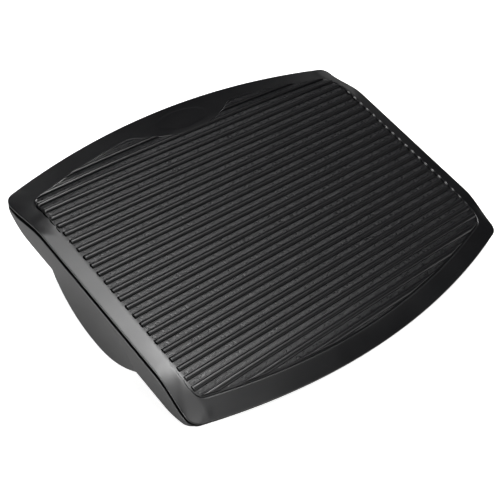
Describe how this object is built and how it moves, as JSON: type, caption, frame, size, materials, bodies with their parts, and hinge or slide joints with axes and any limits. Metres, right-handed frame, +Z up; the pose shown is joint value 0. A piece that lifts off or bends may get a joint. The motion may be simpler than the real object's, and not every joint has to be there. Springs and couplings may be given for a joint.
{
  "type": "footrest",
  "caption": "Tilting under desk footrest: a ribbed platform with bowed ends rocks on a steel axle over a low floor frame with rubber feet and stop pads.",
  "frame": {"origin": "on the floor, under the middle of the footrest's box", "axes": "+X across the footrest towards its right side, +Y away from the sitter, towards the raised back edge, +Z up"},
  "size_m": [0.455, 0.3288, 0.1466],
  "materials": {
    "black_plastic": "satin moulded",
    "grained_plastic": "grained",
    "rubber": "matt",
    "nylon": "natural",
    "steel": "zinc plated"
  },
  "bodies": {
    "base": {"base_frame": "black_plastic", "left_upright": "black_plastic", "right_upright": "black_plastic", "upright_screw_front_left": "steel", "upright_screw_back_left": "steel", "upright_screw_front_right": "steel", "upright_screw_back_right": "steel", "foot_front_left": "rubber", "foot_back_left": "rubber", "foot_front_right": "rubber", "foot_back_right": "rubber", "stop_pad_front_left": "rubber", "stop_pad_back_left": "rubber", "stop_pad_front_right": "rubber", "stop_pad_back_right": "rubber", "pivot_axle": "steel", "left_friction_washer": "nylon", "right_friction_washer": "nylon", "left_wave_washer": "steel", "right_wave_washer": "steel", "left_axle_cap": "black_plastic", "right_axle_cap": "black_plastic"},
    "platform": {"deck": "black_plastic", "tread_panel": "grained_plastic", "under_tray": "black_plastic", "deck_screw_front_left": "steel", "deck_screw_middle_left": "steel", "deck_screw_back_left": "steel", "deck_screw_front_right": "steel", "deck_screw_middle_right": "steel", "deck_screw_back_right": "steel", "bracket_screw_left_front": "steel", "bracket_screw_left_back": "steel", "bracket_screw_right_front": "steel", "bracket_screw_right_back": "steel", "left_hinge_bracket": "steel", "right_hinge_bracket": "steel", "left_bush": "nylon", "right_bush": "nylon"}
  },
  "joints": [
    {"name": "platform_tilt", "type": "hinge", "parent": "base", "child": "platform", "pos_m": [0, 0.0099, 0.04935], "axis": [1, 0, 0], "range_deg": [-45.4, 0]}
  ]
}
